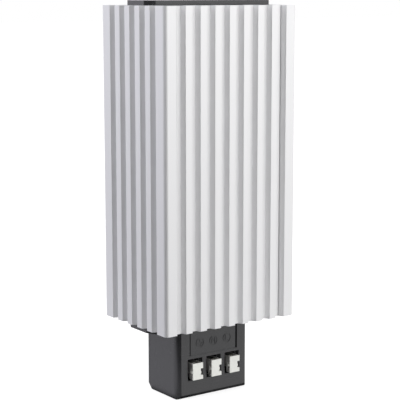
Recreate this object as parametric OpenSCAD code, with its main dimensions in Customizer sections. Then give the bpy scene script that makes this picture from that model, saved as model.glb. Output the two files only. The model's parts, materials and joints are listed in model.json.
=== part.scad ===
// Enclosure heater: an upright aluminium heat-sink profile around a sealed heating chamber,
// closed by a plastic cap on top and by a terminal housing below, with a clip for a 35 mm
// mounting rail on its back. Millimetres. The front faces -Y, +Z is up, and the origin is
// on the profile's axis at the underside of the terminal housing.

/* [Heat-sink profile] */
// Width of the profile across its front face
profile_w = 70; // [66:1:90]
// Depth of the profile from front to back
profile_d = 50; // [46:1:70]
// Length of the profile
profile_l = 140; // [110:5:220]
// Radius of the four long outer corners
corner_r = 1.8; // [1:0.1:4]
// Number of grooves across the front face
front_grooves = 8; // [6:2:10]
// Number of grooves across each side face
side_grooves = 5; // [3:1:6]
// Plain land from an outer corner to the first groove of the front
front_land = 6.2; // [5:0.1:8]
// Plain land from an outer corner to the first groove of a side
side_land = 7; // [5.5:0.1:9]
// Width of a front groove at its mouth
front_groove_w = 4.3; // [3.6:0.1:5]
// Width of a side groove at its mouth
side_groove_w = 4.1; // [3.6:0.1:5]
// Depth of every groove
groove_depth = 2.2; // [1.2:0.1:2.6]
// Slope of a groove's flanks, from the groove's centre line
flank_angle = 27; // [10:1:30]
// Wall left behind the groove floors
wall_t = 1.3; // [1.1:0.1:3]
// Width of the slit in the outermost grooves of the front and the back, which are wider by it
slit_w = 0.4; // [0.2:0.05:0.5]
// Number of air ducts on either side of the heating chamber
ducts = 4; // [3:1:5]
// Thickness of the ribs between the air ducts
rib_t = 1.4; // [1:0.1:3]
// Thickness of the two walls that enclose the heating chamber
cross_wall_t = 1.6; // [1.2:0.1:3]
// Width of the plain band on the back that carries the rail clip
rear_band_w = 26; // [24:1:32]
// Distance of the screw channels from the side faces
channel_inset = 8.5; // [8:0.1:9.5]
// Radius of the screw channels
channel_r = 1.6; // [1.3:0.05:1.8]
// Radius of the bosses around the screw channels
boss_r = 3.4; // [3:0.1:3.8]

/* [Top cap and flange] */
// Step from the profile's side face in to the cap and the flange
cap_inset = 2; // [1:0.1:3]
// Depth of the cap and the flange from front to back
cap_d = 22.4; // [21:0.2:26]
// Thickness of the cap and the flange
cap_t = 2.2; // [2:0.1:3]
// Corner cut of the cap and the flange, along their front edge
cap_cut_x = 2.8; // [1:0.1:3.5]
// Corner cut of the cap and the flange, along their side edge
cap_cut_y = 4.8; // [1:0.1:6]
// Depth to which the cap's tongue reaches into the heating chamber
tongue_depth = 3; // [1:0.5:5]

/* [Terminal housing] */
// Width of the terminal housing
box_w = 38.8; // [38:0.1:44]
// Height of the terminal housing up to its flange
box_h = 32.2; // [31.6:0.1:40]
// Thickness of the housing's walls
box_wall = 1.8; // [1.4:0.1:2]
// Thickness of the housing's floor
floor_t = 2.2; // [1.6:0.1:3]
// Thickness of the rear cover
cover_t = 1.8; // [1.4:0.1:3]
// Radius of the upright front edges
box_edge_r = 5.4; // [4:0.1:6]
// Angle at which the rounding of those edges meets the front
box_edge_turn = 43; // [30:1:60]
// Bevel along the lower front edge
front_bevel = 1.8; // [0.4:0.1:2]
// Bevel along the lower rear edge
rear_bevel = 2.7; // [0.4:0.1:3]
// Bevel along the lower side edges
side_bevel = 0.2; // [0.2:0.1:1.2]
// Width of the sunk panel on the front
panel_w = 26.2; // [20:0.1:28]
// Depth of the sunk panel
panel_depth = 0.35; // [0.2:0.05:0.6]
// Width of the grooves along the sunk panel's sides
panel_groove_w = 0.65; // [0.3:0.05:1]
// Depth of the grooves along the sunk panel's sides, from the panel
panel_groove_depth = 0.5; // [0.2:0.1:0.7]
// Height of the sunk panel's lower edge above the openings
panel_gap = 1.4; // [0.8:0.1:3]
// Radius of the rings around the terminal marks
mark_r = 2.2; // [1.5:0.05:2.6]
// Distance between neighbouring terminal marks
mark_pitch = 7.5; // [6:0.1:8]
// Height of the terminal marks above the panel's lower edge
mark_rise = 5.4; // [4:0.1:8]
// Line width of the terminal marks
mark_line = 0.36; // [0.2:0.02:0.5]
// Depth of the terminal marks
mark_depth = 0.25; // [0.1:0.05:0.3]

/* [Terminals] */
// Distance between neighbouring terminals
term_pitch = 10.2; // [10.2:0.05:10.7]
// Width of a terminal opening
opening_w = 7.9; // [7:0.1:8.2]
// Height of a terminal opening
opening_h = 9.8; // [9.6:0.1:10.4]
// Height of the openings' lower edge above the underside
opening_z = 8.2; // [7.8:0.1:9]
// Width of a pusher
pusher_w = 5.4; // [5.2:0.1:6.4]
// Height of a pusher
pusher_h = 7.6; // [7:0.1:8]
// Height of a pusher's lower edge above the lower edge of its opening
pusher_rise = 0.6; // [0.4:0.1:0.8]
// Thickness of a pusher's plate
pusher_t = 0.6; // [0.5:0.1:1]
// Distance by which a pusher stands out of the front
pusher_out = 2.4; // [2.2:0.1:3.5]
// Travel of a pusher
pusher_travel = 2; // [1:0.1:2]
// Depth of the notch in a pusher's side
notch_depth = 1.2; // [0.5:0.1:1.5]
// Height of the notch in a pusher's side
notch_h = 3.1; // [2:0.1:4]
// Distance of the notch below the middle of the pusher
notch_drop = 0.45; // [0:0.05:0.6]
// Outer width of a clamp yoke
yoke_w = 5.2; // [5:0.1:5.4]
// Height of a clamp yoke
yoke_h = 6.5; // [6.2:0.1:6.8]
// Sheet thickness of a clamp yoke
yoke_t = 0.6; // [0.4:0.1:0.8]
// Depth of the slots in the front edges of a clamp yoke, which are as high as the notch
slot_l = 1.6; // [1:0.1:2]
// Thickness of a contact bar
bar_t = 1.2; // [0.8:0.1:1.4]
// Strip thickness of a clamp spring
spring_t = 0.4; // [0.3:0.05:0.5]
// Thickness of the partitions between the terminals
partition_t = 1.4; // [1:0.1:1.6]

/* [Heating element] */
// Width of a ceramic heating tablet
tablet_w = 15; // [12:0.5:15.5]
// Length of a ceramic heating tablet
tablet_l = 24; // [15:1:30]
// Thickness of a ceramic heating tablet
tablet_t = 2.4; // [1.6:0.1:3]
// Space between neighbouring tablets
tablet_gap = 4; // [2:0.5:8]
// Thickness of a contact plate
plate_t = 0.8; // [0.5:0.1:1.2]
// Thickness of the insulating sleeve
film_t = 0.4; // [0.2:0.1:0.6]
// Mean thickness of a clamping wedge
wedge_t = 3.1; // [2.6:0.1:4]
// Rise of a wedge's slope over its length
wedge_rise = 1.2; // [0.6:0.1:1.8]
// Width of a contact plate's tab
tab_w = 6.3; // [5:0.1:6.4]

/* [Leads and earth] */
// Outer diameter of the internal leads
lead_d = 2.2; // [1.6:0.1:2.4]
// Wall of the crimp barrels
crimp_wall = 0.6; // [0.4:0.05:0.8]
// Radius of the earth lug's ring
lug_r = 3.8; // [3.4:0.1:4]
// Sheet thickness of the earth lug
lug_t = 0.8; // [0.6:0.1:1]

/* [Rail clip] */
// Width of the rail clip
clip_w = 22; // [20:1:24]
// Sheet thickness of the rail clip
clip_t = 1.2; // [1:0.1:1.6]
// Height of the mounting rail that the clip holds
rail_h = 35; // [30:1:40]
// Thickness of the mounting rail's flanges
rail_t = 1; // [0.8:0.1:1.5]
// Overlap of the clip's hooks on the rail's flanges
hook_lap = 2.4; // [1.5:0.1:3]
// Distance between the two screws of the clip
clip_screw_pitch = 11; // [10:0.5:12]
// Radius of the clip screws' shanks
clip_screw_r = 1.9; // [1.5:0.05:2]

/* [Fits] */
// Gap between pieces that are assembled side by side
fit_gap = 0.15; // [0.1:0.05:0.25]
// Gap around pieces that slide
slide_gap = 0.25; // [0.2:0.05:0.35]
// Gap around screw shanks and under screw heads
screw_gap = 0.05; // [0.02:0.01:0.1]

/* [Hidden] */
$fn = 48;

// Overlap that lets a cut pass a face or a web run into a wall of its own piece
cut = 0.5;

// Levels
z_flange = box_h;
z_profile = z_flange + cap_t;
z_top = z_profile + profile_l;

// Profile section
inner_w = profile_w - 2 * (groove_depth + wall_t);
inner_d = profile_d - 2 * (groove_depth + wall_t);
front_pitch = (profile_w - 2 * front_land - front_groove_w) / (front_grooves - 1);
side_pitch = (profile_d - 2 * side_land - side_groove_w) / (side_grooves - 1);
groove_narrowing = 2 * groove_depth * tan(flank_angle);
front_floor_w = front_groove_w - groove_narrowing;
side_floor_w = side_groove_w - groove_narrowing;
outer_groove_x = (front_grooves - 1) / 2 * front_pitch;
slit_x = outer_groove_x + front_floor_w / 2 + slit_w / 2;
duct_pitch = inner_w / ducts;
channel_x = profile_w / 2 - channel_inset;

// Heating chamber, from its front wall to its rear wall
element_t = tablet_t + 2 * plate_t + 2 * film_t;
chamber_d = element_t + 2 * wedge_t;
chamber_y0 = -chamber_d / 2;
chamber_y1 = chamber_d / 2;
plate_y_front = chamber_y0 + film_t;
tablet_y = plate_y_front + plate_t;
plate_y_rear = tablet_y + tablet_t;
wedge_y = chamber_y0 + element_t;
end_room = 14;
tablet_count = floor((profile_l - 2 * end_room + tablet_gap) / (tablet_l + tablet_gap));
tablet_row = tablet_count * (tablet_l + tablet_gap) - tablet_gap;
tablet_z = z_profile + (profile_l - tablet_row) / 2;
plate_over = 4;
plate_z = tablet_z - plate_over;
plate_l = tablet_row + 2 * plate_over;
sleeve_w = tablet_w + 2 * fit_gap + 2 * film_t;
sleeve_drop = 1;
sleeve_z = z_profile - sleeve_drop;
sleeve_over = 3;
sleeve_l = plate_z + plate_l + sleeve_over - sleeve_z;
wedge_z = plate_z;
wedge_l = plate_l;

// Screws
csk_r = 2.9;
csk_h = 1.4;
csk_seat = 0.2;
cap_screw_l = 12;
recess_w = 0.8;
recess_l = 3;
recess_depth = 0.9;

// Terminal housing
cap_w = profile_w - 2 * cap_inset;
box_front = -cap_d / 2;
box_rear = cap_d / 2;
cavity_w = box_w - 2 * box_wall;
cavity_front = box_front + box_wall;
window_w = cavity_w - 2 * fit_gap;
window_d = chamber_d + 2 * fit_gap;
panel_z = opening_z + opening_h + panel_gap;
mark_z = panel_z + mark_rise;
nib = 0.5;
nib_h = 6;
rim_depth = 3;
rim_t = 1.2;
nib_y = box_rear - rim_depth / 2;

// Terminals, from the opening inwards
function term_x(i) = (i - 1) * term_pitch;
opening_top = opening_z + opening_h;
pusher_z = opening_z + pusher_rise;
pusher_front = box_front - pusher_out;
notch_z = pusher_z + pusher_h / 2 - notch_drop;
stem_t = 1.1;
stem_l = 7;
yoke_front = pusher_front + pusher_t;
yoke_rear = -3.5;
cheek_rear = yoke_front + slot_l + 2 * yoke_t;
brow_y = yoke_rear - 2;
brow_z = pusher_z + pusher_h - fit_gap;
yoke_top = opening_top - slide_gap;
yoke_z = yoke_top - yoke_h;
yoke_inner = yoke_w / 2 - yoke_t;
yoke_shoulder = 0.8;
web_w = yoke_w + 2 * yoke_shoulder;
web_h = 2;
rail_inner = yoke_w / 2 + slide_gap;
rail_rear = yoke_rear - yoke_t - slide_gap;
chamber_half = (term_pitch - partition_t) / 2;
rail_w = chamber_half - rail_inner + partition_t / 2;
rail_x = rail_inner + rail_w / 2;
ledge_t = 0.9;
ledge_z = yoke_z + web_h + slide_gap;
bar_z = ledge_z + ledge_t;
bar_top = bar_z + bar_t;
bar_narrow = yoke_inner - slide_gap;
bar_wide = chamber_half - fit_gap;
bar_tip = cavity_front + slide_gap;
bar_wide_y = yoke_rear + pusher_travel + 2 * slide_gap;
bar_rear = 9;
barrel_y = 7;
barrel_h = 3;
partition_rear = box_rear - rim_depth - 2 * fit_gap;
partition_top = panel_z - panel_depth;
post_front = 3;
post_w = 4.4;
post_z = floor_t + rim_t + slide_gap;
post_top = ledge_z - slide_gap;
spring_w = 3.6;
spring_foot = 1;

// Crimp barrels and receptacles
lead_r = lead_d / 2;
lead_seat = 0.5;
crimp_bore = lead_r + screw_gap;
crimp_r = crimp_bore + crimp_wall;
crimp_l = 4.5;
tab_x = tablet_w / 2 - tab_w / 2 - fit_gap;
tab_drop = 7.5;
tab_z = z_flange - tab_drop;
recept_wall = 0.6;
recept_w = tab_w + 2 * fit_gap + 2 * recept_wall;
recept_d = plate_t + 2 * fit_gap + 2 * recept_wall;
recept_h = 7;
recept_z = tab_z - lead_seat;
crimp_z = recept_z + recept_h / 2;
live_mouth = plate_y_rear + plate_t / 2 + recept_d / 2 + crimp_l;
neutral_mouth = plate_y_front + plate_t / 2 + recept_d / 2 + crimp_l;

// Earth
earth_x = -(window_w / 2 - lug_r - fit_gap);
earth_head_r = 2.8;
earth_head_h = 2;
earth_screw_l = 9;
lug_hole_r = channel_r + fit_gap;
lug_drop = 2;
strap_w = 3;
strap_y = window_d / 2 - lug_t - fit_gap;
lug_barrel_y = strap_y + lug_t / 2;
lug_barrel_top = z_flange - lug_drop;
lug_barrel_z = lug_barrel_top - crimp_l;

// Rail clip
rail_z = z_profile + profile_l / 2;
back_y = profile_d / 2;
seat_y = back_y + clip_t;
hook_gap = rail_t + 2 * fit_gap;
hook_y = seat_y + hook_gap + clip_t / 2;
hook_top_z = rail_z + rail_h / 2 + fit_gap + clip_t / 2;
clip_csk_r = 3.7;
clip_csk_h = clip_csk_r - clip_screw_r;
clip_screw_l = clip_t + groove_depth + wall_t;
spring_leg = 6;
lead_in = 1.2;

// Internal leads, from the barrel of a contact bar to the mouth of another barrel
bar_mouth = bar_top + barrel_h;
lead_reach = 4.5;
lead_sides = 8;
lead_steps = 12;
function curve(a, b, c, d, t) =
    pow(1 - t, 3) * a + 3 * pow(1 - t, 2) * t * b + 3 * (1 - t) * t * t * c + pow(t, 3) * d;
function lead_path(i, mouth, way) =
    let (start = [term_x(i), barrel_y, bar_mouth], up = [0, 0, 1])
    concat(
        [start - (barrel_h - lead_seat) * up],
        [for (k = [0 : lead_steps])
            curve(start, start + lead_reach * up, mouth - lead_reach * way, mouth, k / lead_steps)],
        [mouth + (crimp_l - 2 * lead_seat) * way]
    );

// Tube along a path of points
function unit(v) = v / norm(v);
function knot(p, i) = p[max(0, min(len(p) - 1, i))];
function heading(p, i) = unit(knot(p, i + 1) - knot(p, i - 1));
function across(p, i, last) =
    let (h = heading(p, i), side = unit(last - h * (last * h)))
    i == len(p) - 1 ? [side] : concat([side], across(p, i + 1, side));
function ring(centre, h, side, r) = [
    for (k = [0 : lead_sides - 1])
        let (a = 360 * k / lead_sides)
        centre + r * (cos(a) * side + sin(a) * cross(h, side))
];

module lead(path) {
    sides = across(path, 0, [1, 0, 0]);
    last = len(path) - 1;
    points = [for (i = [0 : last]) each ring(path[i], heading(path, i), sides[i], lead_r)];
    walls = [
        for (i = [0 : last - 1]) for (k = [0 : lead_sides - 1])
            let (a = i * lead_sides, b = a + lead_sides, n = (k + 1) % lead_sides)
            [a + k, b + k, b + n, a + n]
    ];
    first_end = [for (k = [0 : lead_sides - 1]) k];
    last_end = [for (k = [lead_sides - 1 : -1 : 0]) last * lead_sides + k];
    polyhedron(points, concat([first_end], walls, [last_end]), convexity = 10);
}

// Block given by its centre in X and its corners in Y and Z
module block(x, w, y0, y1, z0, z1) {
    translate([x - w / 2, y0, z0]) cube([w, y1 - y0, z1 - z0]);
}

// Sheet strip of one thickness along a line of points
module strip(points, t) {
    for (i = [0 : len(points) - 2]) {
        leg = points[i + 1] - points[i];
        translate(points[i]) rotate(atan2(leg[1], leg[0])) translate([0, -t / 2]) square([norm(leg), t]);
    }
    for (p = points) translate(p) circle(d = t);
}

// Section drawn in Y and Z, carried along X
module along_x(w) {
    rotate([90, 0, 90]) linear_extrude(height = w, center = true) children();
}

// Countersunk screw that points along +Z with the flat of its head at the origin
module csk_screw(r, l, head_r, head_h) {
    difference() {
        union() {
            cylinder(r = head_r, h = csk_seat);
            translate([0, 0, csk_seat]) cylinder(r1 = head_r, r2 = r, h = head_h);
            cylinder(r = r, h = l);
        }
        for (a = [0, 90]) rotate(a)
            translate([-recess_l / 2, -recess_w / 2, -cut]) cube([recess_l, recess_w, recess_depth + cut]);
    }
}

// Hole for a countersunk screw, through a wall of thickness t
module csk_hole(r, t, head_r, head_h) {
    translate([0, 0, -cut]) cylinder(r = head_r + screw_gap, h = csk_seat + cut);
    translate([0, 0, csk_seat]) cylinder(r1 = head_r + screw_gap, r2 = r + screw_gap, h = head_h);
    cylinder(r = r + screw_gap, h = t + cut);
}

// Groove section that opens towards +Y, with its mouth on the X axis
module groove(mouth_w, floor_w) {
    spread = (mouth_w - floor_w) / 2 * cut / groove_depth;
    polygon([
        [-floor_w / 2, -groove_depth], [floor_w / 2, -groove_depth],
        [mouth_w / 2 + spread, cut], [-mouth_w / 2 - spread, cut]
    ]);
}

module rounded_section() {
    square([profile_w - 2 * corner_r, profile_d], center = true);
    square([profile_w, profile_d - 2 * corner_r], center = true);
    for (sx = [-1, 1]) for (sy = [-1, 1])
        translate([sx * (profile_w / 2 - corner_r), sy * (profile_d / 2 - corner_r)]) circle(r = corner_r);
}

module front_groove_row(clear_w) {
    for (i = [0 : front_grooves - 1]) {
        x = (i - (front_grooves - 1) / 2) * front_pitch;
        extra = i == 0 || i == front_grooves - 1 ? slit_w : 0;
        if (abs(x) - front_groove_w / 2 > clear_w / 2)
            translate([x + sign(x) * extra / 2, profile_d / 2])
                groove(front_groove_w + extra, front_floor_w + extra);
    }
}

module side_groove_row() {
    for (i = [0 : side_grooves - 1])
        translate([profile_w / 2, (i - (side_grooves - 1) / 2) * side_pitch])
            rotate(-90) groove(side_groove_w, side_floor_w);
}

module profile_section() {
    difference() {
        union() {
            difference() {
                rounded_section();
                rotate(180) front_groove_row(-front_groove_w);
                front_groove_row(rear_band_w);
                for (a = [0, 180]) rotate(a) side_groove_row();
                square([inner_w, inner_d], center = true);
            }
            for (s = [-1, 1])
                translate([0, s * (chamber_d + cross_wall_t) / 2])
                    square([inner_w + 2 * cut, cross_wall_t], center = true);
            for (s = [-1, 1]) for (i = [1 : ducts - 1])
                translate([i * duct_pitch - inner_w / 2, s * (inner_d + chamber_d + 2 * cross_wall_t) / 4])
                    square([rib_t, (inner_d - chamber_d) / 2 - cross_wall_t + 2 * cut], center = true);
            for (x = [-channel_x, channel_x, earth_x]) {
                translate([x, 0]) circle(r = boss_r);
                translate([x, 0]) square([rib_t, chamber_d + 2 * cut], center = true);
            }
        }
        for (x = [-channel_x, channel_x, earth_x]) translate([x, 0]) circle(r = channel_r);
        for (sx = [-1, 1]) for (sy = [-1, 1])
            translate([sx * slit_x, sy * profile_d / 2])
                square([slit_w, profile_d - inner_d + 2 * cut], center = true);
    }
}

module clip_screw_places() {
    for (s = [-1, 1]) translate([s * clip_screw_pitch / 2, seat_y, rail_z]) rotate([90, 0, 0]) children();
}

module heatsink_profile() {
    color([0.84, 0.84, 0.85]) difference() {
        translate([0, 0, z_profile]) linear_extrude(height = profile_l) profile_section();
        clip_screw_places() csk_hole(clip_screw_r, clip_screw_l, clip_csk_r, clip_csk_h);
    }
}

// Outline shared by the cap and the flange
module cap_outline() {
    x = cap_w / 2;
    y = cap_d / 2;
    polygon([
        [-x, -y + cap_cut_y], [-x + cap_cut_x, -y], [x - cap_cut_x, -y], [x, -y + cap_cut_y],
        [x, y - cap_cut_y], [x - cap_cut_x, y], [-x + cap_cut_x, y], [-x, y - cap_cut_y]
    ]);
}

module top_cap() {
    color([0.13, 0.13, 0.14]) difference() {
        union() {
            translate([0, 0, z_top]) linear_extrude(height = cap_t) cap_outline();
            block(0, tablet_w, chamber_y0 + fit_gap, chamber_y1 - fit_gap, z_top - tongue_depth, z_top + cut);
        }
        for (s = [-1, 1]) translate([s * channel_x, 0, z_top + cap_t]) mirror([0, 0, 1])
            csk_hole(channel_r, cap_t, csk_r, csk_h);
    }
}

module top_cap_screws() {
    color([0.62, 0.62, 0.64]) for (s = [-1, 1]) translate([s * channel_x, 0, z_top + cap_t]) mirror([0, 0, 1])
        csk_screw(channel_r - screw_gap, cap_screw_l, csk_r, csk_h);
}

module box_outline() {
    x = box_w / 2 - box_edge_r;
    y = box_front + box_edge_r * cos(box_edge_turn);
    intersection() {
        translate([-box_w / 2, box_front]) square([box_w, box_rear - box_front]);
        union() {
            translate([-box_w / 2, y]) square([box_w, box_rear - y]);
            translate([-x, box_front]) square([2 * x, y - box_front + cut]);
            for (s = [-1, 1]) translate([s * x, y]) circle(r = box_edge_r);
        }
    }
}

// Section that bevels the corner at the origin of a body above and to the right of it
module bevel(size) {
    polygon([[-cut, -cut], [size + cut, -cut], [-cut, size + cut]]);
}

// Bevels along the lower edges of the housing and its cover
module lower_bevels() {
    rear = box_rear + cover_t;
    along_x(box_w + 2 * cut) {
        translate([box_front, 0]) bevel(front_bevel);
        translate([rear, 0]) mirror([1, 0]) bevel(rear_bevel);
    }
    for (s = [0, 1]) mirror([s, 0, 0]) translate([-box_w / 2, rear + cut, 0]) rotate([90, 0, 0])
        linear_extrude(height = rear - box_front + 2 * cut) bevel(side_bevel);
}

// Line of a terminal mark between two points of the panel
module mark_stroke(a, b) {
    leg = b - a;
    translate(a) rotate(atan2(leg[1], leg[0]))
        translate([-mark_line / 2, -mark_line / 2]) square([norm(leg) + mark_line, mark_line]);
}

// Marks of the earth, neutral and live terminals, each in a ring
module mark(i) {
    h = mark_r * 0.55;
    w = mark_r * 0.36;
    difference() {
        circle(r = mark_r);
        circle(r = mark_r - mark_line);
    }
    if (i == 0) {
        mark_stroke([0, h], [0, 0]);
        for (k = [0 : 2]) mark_stroke([-w * (3 - k) / 2, -k * h / 2], [w * (3 - k) / 2, -k * h / 2]);
    }
    if (i == 1) {
        for (s = [-1, 1]) mark_stroke([s * w, -h], [s * w, h]);
        mark_stroke([-w, h], [w, -h]);
    }
    if (i == 2) {
        mark_stroke([-w, h], [-w, -h]);
        mark_stroke([-w, -h], [w, -h]);
    }
}

module terminal_marks() {
    floor_y = box_front + panel_depth;
    for (i = [0 : 2])
        translate([(i - 1) * mark_pitch, floor_y + mark_depth, mark_z]) rotate([90, 0, 0])
            linear_extrude(height = mark_depth + cut) mark(i);
}

// Partitions, guide rails and ledges that hold the terminals
module terminal_seats() {
    for (i = [0 : 3])
        block((i - 1.5) * term_pitch, partition_t,
            cavity_front - cut, partition_rear, floor_t - cut, partition_top);
    for (i = [0 : 2]) for (s = [-1, 1]) {
        block(term_x(i) + s * rail_x, rail_w, cavity_front - cut, rail_rear, floor_t - cut, partition_top);
        block(term_x(i) + s * rail_x, rail_w, rail_rear - cut, partition_rear, ledge_z, bar_z);
    }
}

module terminal_housing() {
    color([0.14, 0.14, 0.15]) difference() {
        union() {
            difference() {
                linear_extrude(height = box_h) box_outline();
                block(0, cavity_w, cavity_front, box_rear + cut, floor_t, z_flange + cut);
            }
            difference() {
                translate([0, 0, z_flange]) linear_extrude(height = cap_t) cap_outline();
                block(0, window_w, -window_d / 2, window_d / 2, z_flange - cut, z_profile + cut);
                for (s = [-1, 1]) translate([s * channel_x, 0, z_flange])
                    csk_hole(channel_r, cap_t, csk_r, csk_h);
            }
            terminal_seats();
        }
        for (i = [0 : 2])
            block(term_x(i), opening_w, box_front - cut, cavity_front, opening_z, opening_top);
        block(0, panel_w, box_front - cut, box_front + panel_depth, panel_z, z_profile + cut);
        for (s = [-1, 1])
            block(s * (panel_w - panel_groove_w) / 2, panel_groove_w,
                box_front - cut, box_front + panel_depth + panel_groove_depth, panel_z, z_profile + cut);
        terminal_marks();
        for (s = [-1, 1])
            block(s * cavity_w / 2, 2 * (nib + fit_gap), nib_y - nib - fit_gap, nib_y + nib + fit_gap,
                box_h / 2 - nib_h / 2 - fit_gap, box_h / 2 + nib_h / 2 + fit_gap);
        lower_bevels();
    }
}

module housing_screws() {
    color([0.62, 0.62, 0.64]) for (s = [-1, 1]) translate([s * channel_x, 0, z_flange])
        csk_screw(channel_r - screw_gap, cap_screw_l, csk_r, csk_h);
}

module rear_cover() {
    rim_w = cavity_w - 2 * fit_gap;
    rim_z0 = floor_t + fit_gap;
    rim_z1 = z_flange - fit_gap;
    color([0.14, 0.14, 0.15]) difference() {
        union() {
            block(0, box_w, box_rear, box_rear + cover_t, 0, box_h);
            difference() {
                block(0, rim_w, box_rear - rim_depth, box_rear + cut, rim_z0, rim_z1);
                block(0, rim_w - 2 * rim_t, box_rear - rim_depth - cut, box_rear,
                    rim_z0 + rim_t, rim_z1 - rim_t);
            }
            for (s = [-1, 1])
                block(s * rim_w / 2, 2 * nib, nib_y - nib, nib_y + nib,
                    box_h / 2 - nib_h / 2, box_h / 2 + nib_h / 2);
            for (i = [0 : 2]) block(term_x(i), post_w, post_front, box_rear + cut, post_z, post_top);
        }
        lower_bevels();
    }
}

// Pusher plate with its notch, and the tongue that fits between the sides of the yoke
module terminal_pusher(i) {
    color([0.88, 0.88, 0.85]) translate([term_x(i), 0, 0]) {
        difference() {
            block(0, pusher_w, pusher_front, yoke_front, pusher_z, pusher_z + pusher_h);
            block(pusher_w / 2, 2 * notch_depth, pusher_front - cut, yoke_front + cut,
                notch_z - notch_h / 2, notch_z + notch_h / 2);
        }
        block(0, 2 * (yoke_inner - screw_gap), yoke_front - pusher_t / 2, yoke_front + stem_l,
            yoke_z + screw_gap, yoke_z + screw_gap + stem_t);
    }
}

// Sheet-metal yoke: two sides with a slot in the front edge, which is as high as the pusher, and a
// wider web at the back that is its stop
module clamp_yoke(i) {
    color([0.66, 0.66, 0.67]) translate([term_x(i), 0, 0]) {
        for (s = [-1, 1]) difference() {
            union() {
                block(s * (yoke_w - yoke_t) / 2, yoke_t, yoke_front, yoke_rear, yoke_z, yoke_top);
                block(s * (yoke_w - yoke_t) / 2, yoke_t, yoke_front, cheek_rear, pusher_z, yoke_z + yoke_t);
            }
            block(s * (yoke_w - yoke_t) / 2, yoke_t + 2 * cut, yoke_front - cut, yoke_front + slot_l,
                notch_z - notch_h / 2, notch_z + notch_h / 2);
            block(s * (yoke_w - yoke_t) / 2, yoke_t + 2 * cut, yoke_front - cut, brow_y,
                brow_z, yoke_top + cut);
            block(s * (yoke_w - yoke_t) / 2, yoke_t + 2 * cut, rail_rear, yoke_rear + cut,
                yoke_z + web_h, yoke_top + cut);
        }
        block(0, web_w, yoke_rear - yoke_t, yoke_rear, yoke_z, yoke_z + web_h);
    }
}

// Leaf spring bent to a V between the web of the yoke and the post of the cover
module clamp_spring(i) {
    y_rear = post_front - spring_t / 2 - screw_gap;
    y_front = yoke_rear + spring_t / 2 + screw_gap;
    top = yoke_z + web_h - spring_t;
    low = post_z + spring_t + spring_foot;
    color([0.7, 0.7, 0.72]) translate([term_x(i), 0, 0]) along_x(spring_w) strip([
        [y_rear, top], [y_rear, low + spring_foot], [y_rear - spring_foot / 2, low + spring_t / 2],
        [y_rear - 1.5 * spring_foot, low + spring_t], [y_front + spring_t, top - 3 * spring_t],
        [y_front, top - spring_t], [y_front, top]
    ], spring_t);
}

// Contact bar with a crimp barrel for its lead
module contact_bar(i) {
    color([0.75, 0.72, 0.68]) translate([term_x(i), 0, 0]) difference() {
        union() {
            block(0, 2 * bar_narrow, bar_tip, bar_wide_y + cut, bar_z, bar_top);
            block(0, 2 * bar_wide, bar_wide_y, bar_rear, bar_z, bar_top);
            translate([0, barrel_y, bar_top - bar_t / 2]) cylinder(r = crimp_r, h = barrel_h + bar_t / 2);
        }
        translate([0, barrel_y, bar_top + lead_seat / 2]) cylinder(r = crimp_bore, h = barrel_h + cut);
    }
}

module ptc_tablets() {
    color([0.36, 0.33, 0.3]) for (k = [0 : tablet_count - 1])
        block(0, tablet_w, tablet_y, tablet_y + tablet_t,
            tablet_z + k * (tablet_l + tablet_gap), tablet_z + k * (tablet_l + tablet_gap) + tablet_l);
}

// Contact plate against one face of the tablets, with a tab that reaches down into the housing
module contact_plate(y, x) {
    color([0.8, 0.76, 0.6]) {
        block(0, tablet_w, y, y + plate_t, plate_z, plate_z + plate_l);
        block(x, tab_w, y, y + plate_t, tab_z, plate_z + cut);
    }
}

module contact_plate_live() {
    contact_plate(plate_y_rear, tab_x);
}

module contact_plate_neutral() {
    contact_plate(plate_y_front, -tab_x);
}

module insulating_sleeve() {
    color([0.72, 0.48, 0.16]) difference() {
        block(0, sleeve_w, chamber_y0, wedge_y, sleeve_z, sleeve_z + sleeve_l);
        block(0, sleeve_w - 2 * film_t, plate_y_front, wedge_y - film_t,
            sleeve_z - cut, sleeve_z + sleeve_l + cut);
    }
}

// Two bars with sloping faces that press the element against the front wall of the chamber
module wedge_fixed() {
    color([0.8, 0.8, 0.81]) along_x(tablet_w) polygon([
        [wedge_y, wedge_z], [wedge_y + wedge_t + wedge_rise / 2 - screw_gap, wedge_z],
        [wedge_y + wedge_t - wedge_rise / 2 - screw_gap, wedge_z + wedge_l], [wedge_y, wedge_z + wedge_l]
    ]);
}

module wedge_driven() {
    color([0.76, 0.76, 0.77]) along_x(tablet_w) polygon([
        [wedge_y + wedge_t + wedge_rise / 2, wedge_z], [chamber_y1, wedge_z],
        [chamber_y1, wedge_z + wedge_l], [wedge_y + wedge_t - wedge_rise / 2, wedge_z + wedge_l]
    ]);
}

// Push-on receptacle around a tab, with its crimp barrel pointing to the back
module tab_receptacle(y, x) {
    centre = y + plate_t / 2;
    color([0.82, 0.72, 0.42]) difference() {
        union() {
            block(x, recept_w, centre - recept_d / 2, centre + recept_d / 2, recept_z, recept_z + recept_h);
            translate([x, centre, crimp_z]) rotate([-90, 0, 0])
                cylinder(r = crimp_r, h = recept_d / 2 + crimp_l);
        }
        block(x, tab_w + 2 * fit_gap, y - fit_gap, y + plate_t + fit_gap,
            recept_z - cut, recept_z + recept_h + cut);
        translate([x, centre + recept_d / 2 + lead_seat / 2, crimp_z]) rotate([-90, 0, 0])
            cylinder(r = crimp_bore, h = crimp_l + cut);
    }
}

module tab_receptacle_live() {
    tab_receptacle(plate_y_rear, tab_x);
}

module tab_receptacle_neutral() {
    tab_receptacle(plate_y_front, -tab_x);
}

module live_lead() {
    color([0.35, 0.2, 0.12]) lead(lead_path(2, [tab_x, live_mouth, crimp_z], [0, -1, 0]));
}

module neutral_lead() {
    color([0.12, 0.3, 0.62]) lead(lead_path(1, [-tab_x, neutral_mouth, crimp_z], [0, -1, 0]));
}

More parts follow.
